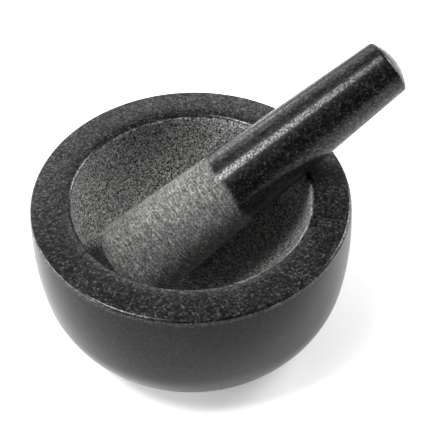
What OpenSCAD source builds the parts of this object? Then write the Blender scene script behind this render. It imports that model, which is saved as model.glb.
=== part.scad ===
// Mortar and pestle turned from dark granite: a deep round bowl and a tapered pestle.
// Millimetres, +Z up. The origin is the centre of the bowl's foot, on the surface it stands on.
// The pestle stands in the bowl, leaning over the rim towards +X.

/* [Bowl] */
// Widest diameter of the bowl, a little below its rim
bowl_d = 150; // [140:1:170]
// Height from the foot to the top of the rim
bowl_h = 76; // [70:1:88]
// Diameter of the hollow at the rim; the hollow is half a ball of this size
hollow_d = 110; // [96:1:120]
// Height of the widest part below the top of the rim
widest_drop = 22; // [18:1:28]
// Radius of the long curve down the upper wall
wall_curve_r = 178; // [150:1:240]
// Radius of the round belly between the wall and the foot
belly_r = 45.6; // [44:0.2:50]
// Radius of the rim's outer edge
rim_outer_round = 1.6; // [0.8:0.1:3]
// Radius of the rim's inner edge
rim_inner_round = 3; // [1.5:0.1:4]
// Radius of the edge around the foot
foot_round = 3; // [1.5:0.5:5]

/* [Pestle] */
// Length of the pestle, end to end
pestle_l = 161.5; // [140:0.5:180]
// Diameter of the taper where it would reach the end of the grinding head
head_d = 43.2; // [38:0.2:46]
// Diameter of the taper where it would reach the end of the handle
handle_d = 26.4; // [22:0.2:30]
// Radius of the grinding head's rounded corner
head_round = 10.5; // [7:0.5:12]
// Radius of the shallow dome across the grinding head's end
head_dome_r = 55; // [40:1:70]
// Radius of the handle's rounded corner
handle_round = 1.5; // [1:0.5:4]
// Radius of the shallow dome across the handle's end
handle_dome_r = 24; // [22:1:40]
// Angle of the pestle's axis above the horizontal, in degrees
lean = 28.6; // [27:0.1:33]
// How far the pestle's axis passes to one side of the bowl's middle
rest_side = -2.2; // [-3:0.1:3]
// Gap left between the pestle and the bowl at each of the two places where it rests
rest_gap = 0.3; // [0.3:0.1:0.6]

/* [Hidden] */
$fn = 96;
// How far the wedges that cut the arcs reach past their circles, as a share of the radius.
wedge_reach = 1.2;

// The outside of the bowl is a chain of arcs that meet smoothly, from the rim down to the foot.
// belly_start_a is how far below level the wall's curve has turned where the belly takes over.
belly_start_a = 6.5;
wall_c = [bowl_d / 2 - wall_curve_r, bowl_h - widest_drop];
belly_c = wall_c + (wall_curve_r - belly_r) * [cos(belly_start_a), -sin(belly_start_a)];
rim_outer_z = bowl_h - rim_outer_round;
rim_outer_c = [
  wall_c.x + sqrt(pow(wall_curve_r - rim_outer_round, 2) - pow(rim_outer_z - wall_c.y, 2)),
  rim_outer_z
];
foot_c = [
  belly_c.x + sqrt(pow(belly_r - foot_round, 2) - pow(belly_c.y - foot_round, 2)),
  foot_round
];
rim_outer_a = atan2(rim_outer_c.y - wall_c.y, rim_outer_c.x - wall_c.x);
foot_a = atan2(foot_c.y - belly_c.y, foot_c.x - belly_c.x);

// The hollow is half a ball about the centre of the rim, with a rounded edge into the flat rim.
hollow_r = hollow_d / 2;
hollow_c = [0, bowl_h];
rim_inner_c = [
  sqrt(pow(hollow_r + rim_inner_round, 2) - pow(rim_inner_round, 2)),
  bowl_h - rim_inner_round
];

// The pestle is a plain taper with a dome and a rounded corner at each end.
taper = (head_d - handle_d) / 2 / pestle_l;
taper_a = atan(taper);
head_r = head_d / 2;
handle_r = handle_d / 2;

// Distance from an end, along the axis, of the centre of the corner that is tangent to a dome of
// radius dome and to a side that starts r from the axis and narrows by slope per unit of length.
function corner_s(r, slope, round, dome) =
  let (
    a = r - round * sqrt(1 + slope * slope),
    b = a * slope + dome,
    c = a * a + dome * dome - pow(dome - round, 2)
  )
  (b - sqrt(b * b - (1 + slope * slope) * c)) / (1 + slope * slope);
// Distance of that centre from the axis.
function corner_r(r, slope, round, s) = r - slope * s - round * sqrt(1 + slope * slope);

head_s = corner_s(head_r, taper, head_round, head_dome_r);
head_c = [corner_r(head_r, taper, head_round, head_s), head_s];
handle_s = corner_s(handle_r, -taper, handle_round, handle_dome_r);
handle_c = [corner_r(handle_r, -taper, handle_round, handle_s), pestle_l - handle_s];
head_dome_a = atan2(head_c.y - head_dome_r, head_c.x);
handle_dome_c = [0, pestle_l - handle_dome_r];
handle_dome_a = atan2(handle_c.y - handle_dome_c.y, handle_c.x);

// Where the leaning pestle comes to rest: its side on the rim's inner edge, its head in the bowl.
// along and across are the coordinates along the pestle's axis and square to it. rest_rim_c and
// rest_reach are taken in the upright plane through that axis, rest_side from the bowl's middle.
along = [cos(lean), sin(lean)];
across = [-sin(lean), cos(lean)];
rest_rim_c = [sqrt(pow(rim_inner_c.x, 2) - pow(rest_side, 2)), rim_inner_c.y];
rim_offset = head_r + (rim_inner_round + rest_gap) / cos(taper_a)
  + rest_rim_c * across - taper * (rest_rim_c * along);
rest_a = head_c.y - hollow_c * along;
rest_b = rim_offset - head_c.x - hollow_c * across;
rest_half = rest_a + rest_b * taper;
rest_reach = sqrt(pow(hollow_r - head_round - rest_gap, 2) - pow(rest_side, 2));
rest_c = rest_a * rest_a + rest_b * rest_b - rest_reach * rest_reach;
tip_along = (-rest_half - sqrt(rest_half * rest_half - (1 + taper * taper) * rest_c))
  / (1 + taper * taper);
tip_across = rim_offset + taper * tip_along;
pestle_tip = tip_along * along + tip_across * across;

// Slice of a disc between two angles, for joining arcs end to end. At most a right angle.
module arc_slice(centre, r, from_a, to_a) {
  mid_a = (from_a + to_a) / 2;
  far = r * wedge_reach / cos((to_a - from_a) / 2);
  translate(centre)
    intersection() {
      circle(r = r);
      polygon([
        [0, 0],
        far * [cos(from_a), sin(from_a)],
        far * [cos(mid_a), sin(mid_a)],
        far * [cos(to_a), sin(to_a)]
      ]);
    }
}

// End of the arc slice with this centre and radius, at angle a.
function arc_end(centre, r, a) = centre + r * [cos(a), sin(a)];

// Half section of the bowl with no hollow: its corner points joined up, then a slice for each arc.
// The long wall curve's centre lies beyond the axis, so its slice is cut back to this side.
module bowl_outline() {
  polygon([
    [0, 0],
    [foot_c.x, 0],
    arc_end(foot_c, foot_round, foot_a),
    arc_end(belly_c, belly_r, -belly_start_a),
    arc_end(rim_outer_c, rim_outer_round, rim_outer_a),
    [rim_outer_c.x, bowl_h],
    [0, bowl_h]
  ]);
  arc_slice(foot_c, foot_round, -90, foot_a);
  arc_slice(belly_c, belly_r, foot_a, -belly_start_a);
  intersection() {
    arc_slice(wall_c, wall_curve_r, -belly_start_a, rim_outer_a);
    translate([hollow_r / 2, 0])
      square([bowl_d, bowl_h]);
  }
  arc_slice(rim_outer_c, rim_outer_round, rim_outer_a, 90);
}

// Half section of what is cut out: the hollow, flaring into the rim round its inner edge.
module hollow_outline() {
  difference() {
    intersection() {
      union() {
        translate(hollow_c)
          circle(r = hollow_r);
        translate([0, rim_inner_c.y])
          square([rim_inner_c.x, hollow_r]);
      }
      translate([0, bowl_h - bowl_d])
        square([bowl_d, 2 * bowl_d]);
    }
    translate(rim_inner_c)
      circle(r = rim_inner_round);
  }
}

module mortar() {
  color("#3b3a39")
    rotate_extrude()
      difference() {
        bowl_outline();
        hollow_outline();
      }
}

// Half section of the pestle standing on its head.
module pestle_outline() {
  polygon([
    [0, 0],
    arc_end([0, head_dome_r], head_dome_r, head_dome_a),
    arc_end(head_c, head_round, taper_a),
    arc_end(handle_c, handle_round, taper_a),
    arc_end(handle_dome_c, handle_dome_r, handle_dome_a),
    [0, pestle_l]
  ]);
  arc_slice([0, head_dome_r], head_dome_r, -90, head_dome_a);
  arc_slice(head_c, head_round, head_dome_a, taper_a);
  arc_slice(handle_c, handle_round, taper_a, handle_dome_a);
  arc_slice(handle_dome_c, handle_dome_r, handle_dome_a, 90);
}

module pestle() {
  color("#2a2928")
    translate([pestle_tip.x, rest_side, pestle_tip.y])
      rotate([0, 90 - lean, 0])
        rotate_extrude()
          pestle_outline();
}

mortar();
pestle();
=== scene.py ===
"""Mortar and pestle of dark granite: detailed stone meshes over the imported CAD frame, in metres."""

import math

import bpy
import numpy as np
from mathutils import Matrix, Vector, noise


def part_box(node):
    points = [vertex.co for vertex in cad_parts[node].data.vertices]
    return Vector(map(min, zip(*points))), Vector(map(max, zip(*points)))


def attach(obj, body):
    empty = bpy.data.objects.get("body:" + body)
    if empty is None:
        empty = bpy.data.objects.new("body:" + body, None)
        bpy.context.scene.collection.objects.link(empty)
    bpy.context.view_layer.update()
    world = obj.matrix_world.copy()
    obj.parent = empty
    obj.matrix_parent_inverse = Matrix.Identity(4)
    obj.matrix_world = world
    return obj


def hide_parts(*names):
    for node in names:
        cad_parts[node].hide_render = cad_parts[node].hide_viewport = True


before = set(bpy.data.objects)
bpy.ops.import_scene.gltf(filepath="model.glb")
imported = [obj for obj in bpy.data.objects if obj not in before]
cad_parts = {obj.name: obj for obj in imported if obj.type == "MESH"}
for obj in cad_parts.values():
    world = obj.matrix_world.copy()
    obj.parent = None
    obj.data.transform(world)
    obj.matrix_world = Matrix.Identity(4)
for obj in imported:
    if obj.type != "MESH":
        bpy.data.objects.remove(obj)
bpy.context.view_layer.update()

MM = 0.001
mortar_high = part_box("mortar")[1]

# The bowl's outline, as in the CAD, in millimetres.
BOWL_R = mortar_high.x / MM
BOWL_H = mortar_high.z / MM
WIDEST_DROP = 22
WALL_CURVE_R = 178
BELLY_R = 45.6
BELLY_START = 6.5
RIM_OUTER_ROUND = 1.6
RIM_INNER_ROUND = 3
FOOT_ROUND = 3
HOLLOW_R = 55
# The rim's top is very slightly crowned: it sinks by this much at its inner edge, and by this
# share of it at its outer edge.
RIM_CROWN = 0.3
RIM_OUTER_SHARE = 0.4
RIM_MIDDLE = 65.5
RIM_HALF = 8
# The rough grinding of the hollow starts this far below the rim where it comes nearest, and this
# much further down on the other side, which is at this angle from +X. Its edge wanders.
GROUND_START = 0.5
GROUND_LOWER = 1.1
GROUND_LOWER_SIDE = 125
GROUND_WANDER = 0.5
# How far below the rim the honed stone turns into the satin of the wall.
SATIN_START, SATIN_END = 1.4, 2.2
# Anything nearer to the hollow's surface or the floor than this is taken to lie on it.
CLOSE = 0.1
ON_FLOOR = 0.01

# The pestle's outline, as in the CAD, in millimetres from the tip of its head.
PESTLE_L = 161.5
HEAD_R = 21.6
HANDLE_R = 13.2
HEAD_ROUND = 10.5
HEAD_DOME_R = 55
HANDLE_ROUND = 1.5
HANDLE_DOME_R = 24
LEAN = 28.6
PESTLE_AXIS = (math.cos(math.radians(LEAN)), 0, math.sin(math.radians(LEAN)))
# Where the ground head gives way to the polished handle, and how ragged that edge is.
HEAD_END = 66
HEAD_EDGE_WANDER = 1.6
HEAD_FADE_BELOW, HEAD_FADE_ABOVE = 2.2, 1.2

# How deep each unevenness of the stone goes, and the size of its features, in millimetres.
HONED_DEPTH, HONED_SIZE = 0.05, 14
SWELL_DEPTH, SWELL_SIZE = 0.10, 9
GRIT_DEPTH, GRIT_SIZE = 0.14, 1.7
PIT_DEPTH, PIT_SIZE = 0.26, 2.2
EDGE_SIZE = 5
POLISHED_DEPTH = 0.03
HEAD_DEPTH = 0.05
LATHE_DEPTH, LATHE_LENGTH, LATHE_WIDTH = 0.09, 14, 0.9
HEAD_PIT_DEPTH = 0.18
# Moves the hollow's pits to a part of the noise away from the pits of the head.
PIT_OFFSET = Vector((31, 7, 3))

MORTAR_SEGMENTS = 480
PESTLE_SEGMENTS = 224


def arc(centre, radius, start, end, step):
    """Points every step or so along an arc, angles in degrees, without its last point."""
    count = max(2, round(abs(math.radians(end - start)) * radius / step))
    angles = np.radians(np.linspace(start, end, count + 1)[:-1])
    return [(centre[0] + radius * math.cos(a), centre[1] + radius * math.sin(a)) for a in angles]


def line(start, end, step):
    """Points every step or so along a straight line, without its last point."""
    count = max(1, round(math.dist(start, end) / step))
    return [tuple(np.add(start, np.subtract(end, start) * i / count)) for i in range(count)]


def bowl_outline():
    """The bowl's half section: from the middle of its foot out, up, and down into the hollow."""
    wall_c = (BOWL_R - WALL_CURVE_R, BOWL_H - WIDEST_DROP)
    turn = math.radians(BELLY_START)
    belly_c = (
        wall_c[0] + (WALL_CURVE_R - BELLY_R) * math.cos(turn),
        wall_c[1] - (WALL_CURVE_R - BELLY_R) * math.sin(turn),
    )
    foot_x = belly_c[0] + math.sqrt((BELLY_R - FOOT_ROUND) ** 2 - (belly_c[1] - FOOT_ROUND) ** 2)
    foot_c = (foot_x, FOOT_ROUND)
    foot_a = math.degrees(math.atan2(foot_c[1] - belly_c[1], foot_c[0] - belly_c[0]))
    outer_z = BOWL_H - RIM_OUTER_ROUND
    outer_reach = WALL_CURVE_R - RIM_OUTER_ROUND
    outer_c = (wall_c[0] + math.sqrt(outer_reach**2 - (outer_z - wall_c[1]) ** 2), outer_z)
    outer_a = math.degrees(math.atan2(outer_z - wall_c[1], outer_c[0] - wall_c[0]))
    inner_z = BOWL_H - RIM_INNER_ROUND
    inner_c = (math.sqrt((HOLLOW_R + RIM_INNER_ROUND) ** 2 - RIM_INNER_ROUND**2), inner_z)
    inner_a = math.degrees(math.atan2(-RIM_INNER_ROUND, inner_c[0]))
    return (
        line((0, 0), (foot_x, 0), step=5)
        + arc(foot_c, FOOT_ROUND, -90, foot_a, step=0.7)
        + arc(belly_c, BELLY_R, foot_a, -BELLY_START, step=1.9)
        + arc(wall_c, WALL_CURVE_R, -BELLY_START, outer_a, step=2.2)
        + arc(outer_c, RIM_OUTER_ROUND, outer_a, 90, step=0.35)
        + line((outer_c[0], BOWL_H), (inner_c[0], BOWL_H), step=2)
        + arc(inner_c, RIM_INNER_ROUND, 90, 180 + inner_a, step=0.5)
        + arc((0, BOWL_H), HOLLOW_R, inner_a, -90, step=0.92)
        + [(0, BOWL_H - HOLLOW_R)]
    )


def corner(side_r, slope, radius, dome_r):
    """(distance from the axis, from the end) of the centre of a corner between side and dome."""
    steep = 1 + slope * slope
    a = side_r - radius * math.sqrt(steep)
    b = a * slope + dome_r
    c = a * a + dome_r * dome_r - (dome_r - radius) ** 2
    along = (b - math.sqrt(b * b - steep * c)) / steep
    return side_r - slope * along - radius * math.sqrt(steep), along


def pestle_outline():
    """The pestle's half section, from the tip of its head to the tip of its handle."""
    taper = (HEAD_R - HANDLE_R) / PESTLE_L
    side_a = math.degrees(math.atan(taper))
    head_c = corner(HEAD_R, taper, HEAD_ROUND, HEAD_DOME_R)
    head_a = math.degrees(math.atan2(head_c[1] - HEAD_DOME_R, head_c[0]))
    end_r, end_s = corner(HANDLE_R, -taper, HANDLE_ROUND, HANDLE_DOME_R)
    end_c = (end_r, PESTLE_L - end_s)
    dome_c = (0, PESTLE_L - HANDLE_DOME_R)
    end_a = math.degrees(math.atan2(end_c[1] - dome_c[1], end_r))

    def at(centre, radius):
        side = math.radians(side_a)
        return centre[0] + radius * math.cos(side), centre[1] + radius * math.sin(side)

    return (
        arc((0, HEAD_DOME_R), HEAD_DOME_R, -90, head_a, step=0.8)
        + arc(head_c, HEAD_ROUND, head_a, side_a, step=0.8)
        + line(at(head_c, HEAD_ROUND), at(end_c, HANDLE_ROUND), step=0.85)
        + arc(end_c, HANDLE_ROUND, side_a, end_a, step=0.25)
        + arc(dome_c, HANDLE_DOME_R, end_a, 90, step=0.8)
        + [(0, PESTLE_L)]
    )


def revolve(name, outline, segments, relief):
    """Turns an outline about Z into a closed mesh. relief(point, outline point) gives how far a
    point sinks into the stone, in millimetres, and how ground and how satin it is, from 0 to 1."""
    outline = np.array(outline, float)
    before, after = np.roll(outline, 1, 0), np.roll(outline, -1, 0)
    before[0], after[-1] = outline[0] * (-1, 1), outline[-1] * (-1, 1)
    tangent = after - before
    normal = np.stack([tangent[:, 1], -tangent[:, 0]], -1)
    normal /= np.linalg.norm(normal, axis=1)[:, None]
    points, ground, satin = [], [], []
    turns = np.linspace(0, 2 * math.pi, segments, endpoint=False)
    for i, ((r, z), (nr, nz)) in enumerate(zip(outline, normal)):
        for turn in turns if 0 < i < len(outline) - 1 else (0,):
            c, s = math.cos(turn), math.sin(turn)
            sink, rough, dull = relief(Vector((r * c, r * s, z)), (r, z))
            points.append(((r - sink * nr) * c, (r - sink * nr) * s, z - sink * nz))
            ground.append(rough)
            satin.append(dull)

    def ring(i, k):
        return 1 + (i - 1) * segments + k % segments

    last, top = len(points) - 1, len(outline) - 2
    faces = [(0, ring(1, k + 1), ring(1, k)) for k in range(segments)]
    for i in range(1, top):
        for k in range(segments):
            faces.append((ring(i, k), ring(i, k + 1), ring(i + 1, k + 1), ring(i + 1, k)))
    faces += [(last, ring(top, k), ring(top, k + 1)) for k in range(segments)]
    mesh = bpy.data.meshes.new(name)
    mesh.from_pydata((np.array(points) * MM).tolist(), [], faces)
    mesh.polygons.foreach_set("use_smooth", [True] * len(mesh.polygons))
    for key, values in (("ground", ground), ("satin", satin)):
        mesh.attributes.new(key, "FLOAT", "POINT").data.foreach_set("value", values)
    mesh.update()
    return link(name, mesh)


def link(name, data):
    """A new object in the scene, with this mesh, camera or light."""
    obj = bpy.data.objects.new(name, data)
    bpy.context.scene.collection.objects.link(obj)
    return obj


def smooth_step(low, high, x):
    """0 below low, 1 above high, and a smooth rise between them."""
    t = min(max((x - low) / (high - low), 0), 1)
    return t * t * (3 - 2 * t)


def wave(p):
    """Smooth noise that runs from 0 to 1, with features about 1 across."""
    return 0.5 + 0.5 * noise.noise(p)


def hollow_pits(p):
    """How deep the rough grinding of the hollow goes at a point, in millimetres."""
    pit = smooth_step(0.25, 0.6, noise.noise(p / PIT_SIZE + PIT_OFFSET))
    return SWELL_DEPTH * wave(p / SWELL_SIZE) + GRIT_DEPTH * wave(p / GRIT_SIZE) + PIT_DEPTH * pit


def bowl_relief(p, at):
    """The hollow is rough-ground from its rounded edge down, the outside satin, the rim honed."""
    r, z = at
    if z < ON_FLOOR:
        return 0.0, 0.0, 1.0
    honed = HONED_DEPTH * wave(p / HONED_SIZE)
    across = (r - RIM_MIDDLE) / RIM_HALF
    level = min(max((z - BOWL_H) / RIM_INNER_ROUND + 1, 0), 1)
    share = 1 if across < 0 else RIM_OUTER_SHARE
    crown = RIM_CROWN * min(across * across, 1) * level * share
    in_reach = math.hypot(r, z - BOWL_H) < RIM_MIDDLE
    if r >= RIM_MIDDLE or z <= BOWL_H - HOLLOW_R - CLOSE or not in_reach:
        return honed + crown, 0.0, smooth_step(SATIN_START, SATIN_END, BOWL_H - z)
    away = math.cos(math.atan2(p.y, p.x) - math.radians(GROUND_LOWER_SIDE))
    depth = GROUND_START + GROUND_LOWER * smooth_step(-0.3, 0.3, away)
    depth += GROUND_WANDER * noise.noise(p / EDGE_SIZE)
    rough = smooth_step(depth - 0.3, depth + 0.6, BOWL_H - z)
    return honed + crown + rough * hollow_pits(p), rough, 0.0


def pestle_relief(p, at):
    """The head is ground round and round up to a ragged edge; the handle is polished."""
    edge = HEAD_END + HEAD_EDGE_WANDER * noise.fractal(p / SWELL_SIZE, 1, 2, 3)
    rough = 1 - smooth_step(edge - HEAD_FADE_BELOW, edge + HEAD_FADE_ABOVE, at[1])
    lathe = wave(Vector((p.x / LATHE_LENGTH, p.y / LATHE_LENGTH, p.z / LATHE_WIDTH)))
    pit = smooth_step(0.3, 0.6, noise.noise(p / PIT_SIZE))
    depth = HEAD_DEPTH + LATHE_DEPTH * lathe + HEAD_PIT_DEPTH * pit
    return POLISHED_DEPTH + rough * depth, rough, 0.0


class Nodes:
    """Short spelling for building a material's node tree."""

    def __init__(self, name):
        self.material = bpy.data.materials.new(name)
        self.material.use_nodes = True
        self.tree = self.material.node_tree
        self.shader = self.tree.nodes["Principled BSDF"]

    def put(self, socket, value):
        """Links another node's output to a socket, or sets the socket to a value."""
        if isinstance(value, bpy.types.NodeSocket):
            self.tree.links.new(value, socket)
        else:
            socket.default_value = value

    def feed(self, node, **inputs):
        for key, value in inputs.items():
            self.put(node.inputs[key.replace("_", " ")], value)

    def add(self, kind, **inputs):
        node = self.tree.nodes.new("ShaderNode" + kind)
        self.feed(node, **inputs)
        return node

    def attribute(self, name):
        node = self.add("Attribute")
        node.attribute_name = name
        return node.outputs["Fac"]

    def noise(self, vector, scale, detail=2, roughness=0.5, output="Fac"):
        node = self.add(
            "TexNoise", Vector=vector, Scale=scale, Detail=detail, Roughness=roughness
        )
        return node.outputs[output]

    def cells(self, vector, scale):
        """A random value for each cell of a crystal pattern."""
        node = self.add("TexVoronoi", Vector=vector, Scale=scale)
        return self.add("SeparateColor", Color=node.outputs["Color"]).outputs["Red"]

    def math(self, operation, a, b, clamp=False):
        node = self.add("Math")
        node.operation = operation
        node.use_clamp = clamp
        self.put(node.inputs[0], a)
        self.put(node.inputs[1], b)
        return node.outputs[0]

    def times(self, a, b):
        return self.math("MULTIPLY", a, b)

    def vector(self, operation, a, second, b):
        """Vector arithmetic. second is the index or name of the second value's socket."""
        node = self.add("VectorMath")
        node.operation = operation
        self.put(node.inputs[0], a)
        self.put(node.inputs[second], b)
        return node.outputs

    def span(self, value, low, high, to_low, to_high):
        """Maps low..high onto to_low..to_high, and stops at both ends."""
        limits = {"From_Min": low, "From_Max": high, "To_Min": to_low, "To_Max": to_high}
        return self.add("MapRange", Value=value, **limits).outputs[0]

    def mix(self, factor, a, b):
        """Blends two numbers."""
        node = self.add("Mix", Factor=factor)
        self.put(node.inputs[2], a)
        self.put(node.inputs[3], b)
        return node.outputs[0]


# Granite is very nearly neutral, with a trace of warmth.
STONE_TINT = (1.0, 0.985, 0.96)
# How many of each pattern's features there are to a millimetre of stone.
GRAINS = 1.35
FLECKS = 1.7
FINE = 2.6
CLOUDS = 0.07
PITS = 1.15
HOLES = 1.2
BENDS = 1.6
LINES = 0.2
# How far the crystals' outlines are bent, as a share of the way to the noise that bends them.
BEND_SHARE = 0.2
# How much narrower than long a scratch is, less one.
LINE_SQUEEZE = 7.0
# How far polished stone's grain stands up, and ground stone's pits and fine grain, in millimetres.
SMOOTH_BUMP = 0.02
PIT_BUMP = 0.4
FINE_BUMP = 0.14
# Roughness of the satin wall; the rest of the stone's follows its pattern.
SATIN_ROUGHNESS = 0.23


def granite(name, axis, smooth_tone, ground_tone, pit_shade_contrast, scratches):
    """Fine dark granite. Where the mesh's ground value is 1 it is rough and paler, with painted shade
    in its pits, darker the higher the contrast, and with scratches round and round the axis."""
    n = Nodes(name)
    p = n.vector("SCALE", n.add("TexCoord").outputs["Object"], "Scale", 1 / MM)[0]
    ground, satin = n.attribute("ground"), n.attribute("satin")

    bend = n.add("Mix")
    bend.data_type = "VECTOR"
    n.put(bend.inputs[0], BEND_SHARE)
    n.put(bend.inputs[4], p)
    n.put(bend.inputs[5], n.noise(p, BENDS, output="Color"))
    bent = bend.outputs[1]
    grains = n.cells(bent, GRAINS)
    flecks = n.cells(bent, FLECKS)
    fine = n.noise(p, FINE, detail=3, roughness=0.65)
    cloud = n.noise(p, CLOUDS, detail=3)

    # Crystals: most are near black, some grey, a few pale.
    crystal = n.span(grains, 0.45, 1.0, 0.4, 2.2)
    vary = n.times(n.span(fine, 0.35, 0.65, 0.35, 1.65), n.span(cloud, 0.3, 0.7, 0.85, 1.15))
    rubbed = n.times(crystal, vary)
    honed = n.times(n.math("ADD", crystal, n.span(flecks, 0.82, 0.98, 0.0, 4.8)), vary)
    shade = n.mix(satin, honed, n.math("ADD", 0.7, n.times(rubbed, 0.5)))

    # Points squeezed along the axis, so that noise draws lines square to it.
    along = n.vector("DOT_PRODUCT", p, 1, axis)["Value"]
    stretch = n.vector("SCALE", axis, "Scale", n.times(along, LINE_SQUEEZE))[0]
    lines = n.noise(n.vector("ADD", p, 1, stretch)[0], LINES, detail=3, roughness=0.7)

    # The rough grinding leaves pale bruised stone between small pits; the pits' darkness is painted
    # shade, laid where the bump sinks and in small dark holes, over real scratches.
    pits = n.noise(p, PITS, detail=4, roughness=0.75)
    pit_shade_and_scratches = n.span(pits, 0.42, 0.57, 1 - pit_shade_contrast, 1 + 0.5 * pit_shade_contrast)
    pit_shade_and_scratches = n.times(pit_shade_and_scratches, n.span(lines, 0.4, 0.6, 1 - scratches, 1 + scratches))
    # Painted shade: small dark holes near the middle of each crystal cell, with no relief under them.
    hole = n.add("TexVoronoi", Vector=bent, Scale=HOLES).outputs["Distance"]
    pit_shade_and_scratches = n.times(pit_shade_and_scratches, n.span(hole, 0.1, 0.3, 1 - 0.75 * pit_shade_contrast, 1.1))
    bruised_with_pit_shade = n.times(pit_shade_and_scratches, n.math("ADD", 0.72, n.times(rubbed, 0.33)))
    tone = n.mix(ground, n.times(shade, smooth_tone), n.times(bruised_with_pit_shade, ground_tone))
    colour = n.add("CombineColor")
    for socket, tint in zip(colour.inputs, STONE_TINT):
        n.put(socket, n.times(tone, tint))

    polish = n.mix(satin, n.span(grains, 0.0, 1.0, 0.36, 0.5), SATIN_ROUGHNESS)
    # Some crystals take a better polish than others.
    gloss = n.math(
        "MULTIPLY", n.span(grains, 0.0, 0.7, 0.15, 1.0), n.span(pits, 0.42, 0.58, 0.15, 1.15), True
    )
    height = n.math(
        "ADD",
        n.times(pits, n.mix(ground, SMOOTH_BUMP, PIT_BUMP)),
        n.times(fine, n.mix(ground, SMOOTH_BUMP, FINE_BUMP)),
    )
    n.feed(
        n.shader,
        Base_Color=colour.outputs[0],
        Roughness=n.mix(ground, polish, n.span(pits, 0.35, 0.65, 0.85, 0.6)),
        Normal=n.add("Bump", Height=height, Strength=1.0, Distance=MM).outputs[0],
        IOR=1.44,
        Specular_IOR_Level=0.15,
        Coat_Weight=n.mix(ground, n.mix(satin, gloss, 0.0), 0.0),
        Coat_Roughness=0.17,
        Coat_IOR=1.46,
    )
    return n.material


mortar = revolve("mortar_stone", bowl_outline(), MORTAR_SEGMENTS, bowl_relief)
mortar_granite = granite(
    "granite_mortar",
    (0, 0, 1),
    smooth_tone=0.0105,
    ground_tone=0.225,
    pit_shade_contrast=1.0,
    scratches=0.18,
)
mortar.data.materials.append(mortar_granite)
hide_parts("mortar")
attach(mortar, "mortar")

# The pestle leans in the XZ plane, and the middle of its box is where the CAD's is.
pestle = revolve("pestle_stone", pestle_outline(), PESTLE_SEGMENTS, pestle_relief)
pestle.data.transform(Matrix.Rotation(math.radians(90 - LEAN), 4, "Y"))
corners = np.array([v.co for v in pestle.data.vertices])
shift = (Vector(sum(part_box("pestle"), Vector())) - Vector(corners.min(0) + corners.max(0))) / 2
pestle.data.transform(Matrix.Translation(shift))
pestle_granite = granite(
    "granite_pestle",
    PESTLE_AXIS,
    smooth_tone=0.006,
    ground_tone=0.15,
    pit_shade_contrast=0.55,
    scratches=0.42,
)
pestle.data.materials.append(pestle_granite)
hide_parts("pestle")
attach(pestle, "pestle")

# A pale floor, far bigger than any view of the part, in metres.
FLOOR_HALF = 6
FLOOR_COLOUR = (0.92, 0.92, 0.915, 1)
FLOOR_ROUGHNESS = 0.9
FLOOR_GLOW = 0.31
WHITE = (1, 1, 1, 1)

floor_mesh = bpy.data.meshes.new("floor")
floor_mesh.from_pydata(
    [(FLOOR_HALF * x, FLOOR_HALF * y, 0) for x, y in ((-1, -1), (1, -1), (1, 1), (-1, 1))],
    [],
    [(0, 1, 2, 3)],
)
floor = link("floor", floor_mesh)
paper = Nodes("pale_paper")
paper.feed(
    paper.shader,
    Base_Color=FLOOR_COLOUR,
    Roughness=FLOOR_ROUGHNESS,
    Emission_Color=WHITE,
    Emission_Strength=FLOOR_GLOW,
)
floor.data.materials.append(paper.material)

# The camera: a long lens looking down over the rim, turned so that the pestle leans away to the
# right. Its axis passes a little to the right of the rim's middle and below it. Angles are in
# degrees, lengths in metres, and the lens and sensor in millimetres.
CAMERA_AZIMUTH = -24.6
CAMERA_ELEVATION = 46.8
CAMERA_ROLL = -0.75
CAMERA_DISTANCE = 0.4756
CAMERA_LENS = 85.4
CAMERA_SENSOR = 36
CAMERA_NEAREST = 0.01
AIM_RIGHT = 0.01249
AIM_DOWN = 0.0109

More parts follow.
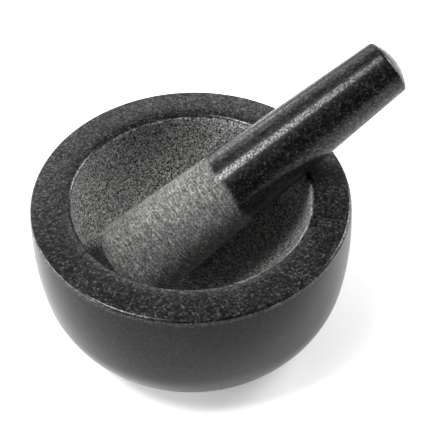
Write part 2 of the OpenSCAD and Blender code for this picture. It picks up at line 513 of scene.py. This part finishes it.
azimuth, elevation = math.radians(CAMERA_AZIMUTH), math.radians(CAMERA_ELEVATION)
level = Vector((math.cos(azimuth), math.sin(azimuth), 0))
forward = Vector((-math.sin(azimuth), math.cos(azimuth), 0))
back = Vector((0, 0, math.sin(elevation))) - math.cos(elevation) * forward
turned = Matrix.Rotation(math.radians(CAMERA_ROLL), 3, back)
right = turned @ level
up = turned @ back.cross(level)
rim_middle = Vector((0, 0, mortar_high.z))
aim = rim_middle + AIM_RIGHT * right - AIM_DOWN * up
camera_data = bpy.data.cameras.new("camera")
camera_data.lens = CAMERA_LENS
camera_data.sensor_width = CAMERA_SENSOR
camera_data.clip_start = CAMERA_NEAREST
camera = link("camera", camera_data)
axes = Matrix((right, up, back)).transposed().to_4x4()
camera.matrix_world = Matrix.Translation(aim + CAMERA_DISTANCE * back) @ axes
bpy.context.scene.camera = camera


def area_light(name, turn, height, distance, size, power):
    """A soft light aimed at the rim's middle. turn is degrees anticlockwise from the camera's
    right, height is degrees above the floor, distance and size are in metres, power in watts."""
    t, h = math.radians(turn + CAMERA_AZIMUTH), math.radians(height)
    away = Vector((math.cos(t) * math.cos(h), math.sin(t) * math.cos(h), math.sin(h)))
    data = bpy.data.lights.new(name, "AREA")
    data.shape = "RECTANGLE"
    data.size, data.size_y = size
    data.energy = power
    light = link(name, data)
    light.location = rim_middle + distance * away
    light.rotation_mode = "QUATERNION"
    light.rotation_quaternion = away.to_track_quat("Z", "Y")


area_light("key", 199, 64.5, 1.3, (0.5, 0.6), 13.5)
area_light("key core", 199, 59, 1.3, (0.42, 0.22), 6.5)
area_light("right", 31, 26, 1.4, (0.7, 0.9), 22)
area_light("left", 192, 8, 1.5, (1.5, 0.4), 32)
area_light("back left", 130, 9, 1.6, (1.0, 0.45), 5)
area_light("back", 100, 28, 1.6, (1.8, 1.0), 11)

# The air is very nearly dark. Beyond the floor's edge the eye meets pale paper, which throws no
# light on the stone.
AIR_GLOW = 0.015
BACKDROP_COLOUR = (0.55, 0.55, 0.545, 1)

world = bpy.data.worlds.new("studio")
world.use_nodes = True
nodes, links = world.node_tree.nodes, world.node_tree.links
air = nodes["Background"]
air.inputs["Color"].default_value = WHITE
air.inputs["Strength"].default_value = AIR_GLOW
backdrop = nodes.new("ShaderNodeBackground")
backdrop.inputs["Color"].default_value = BACKDROP_COLOUR
seen = nodes.new("ShaderNodeLightPath").outputs["Is Camera Ray"]
choose = nodes.new("ShaderNodeMixShader")
for source, socket in zip((seen, air.outputs[0], backdrop.outputs[0]), choose.inputs):
    links.new(source, socket)
links.new(choose.outputs[0], nodes["World Output"].inputs[0])
bpy.context.scene.world = world
bpy.context.scene.view_settings.view_transform = "Standard"
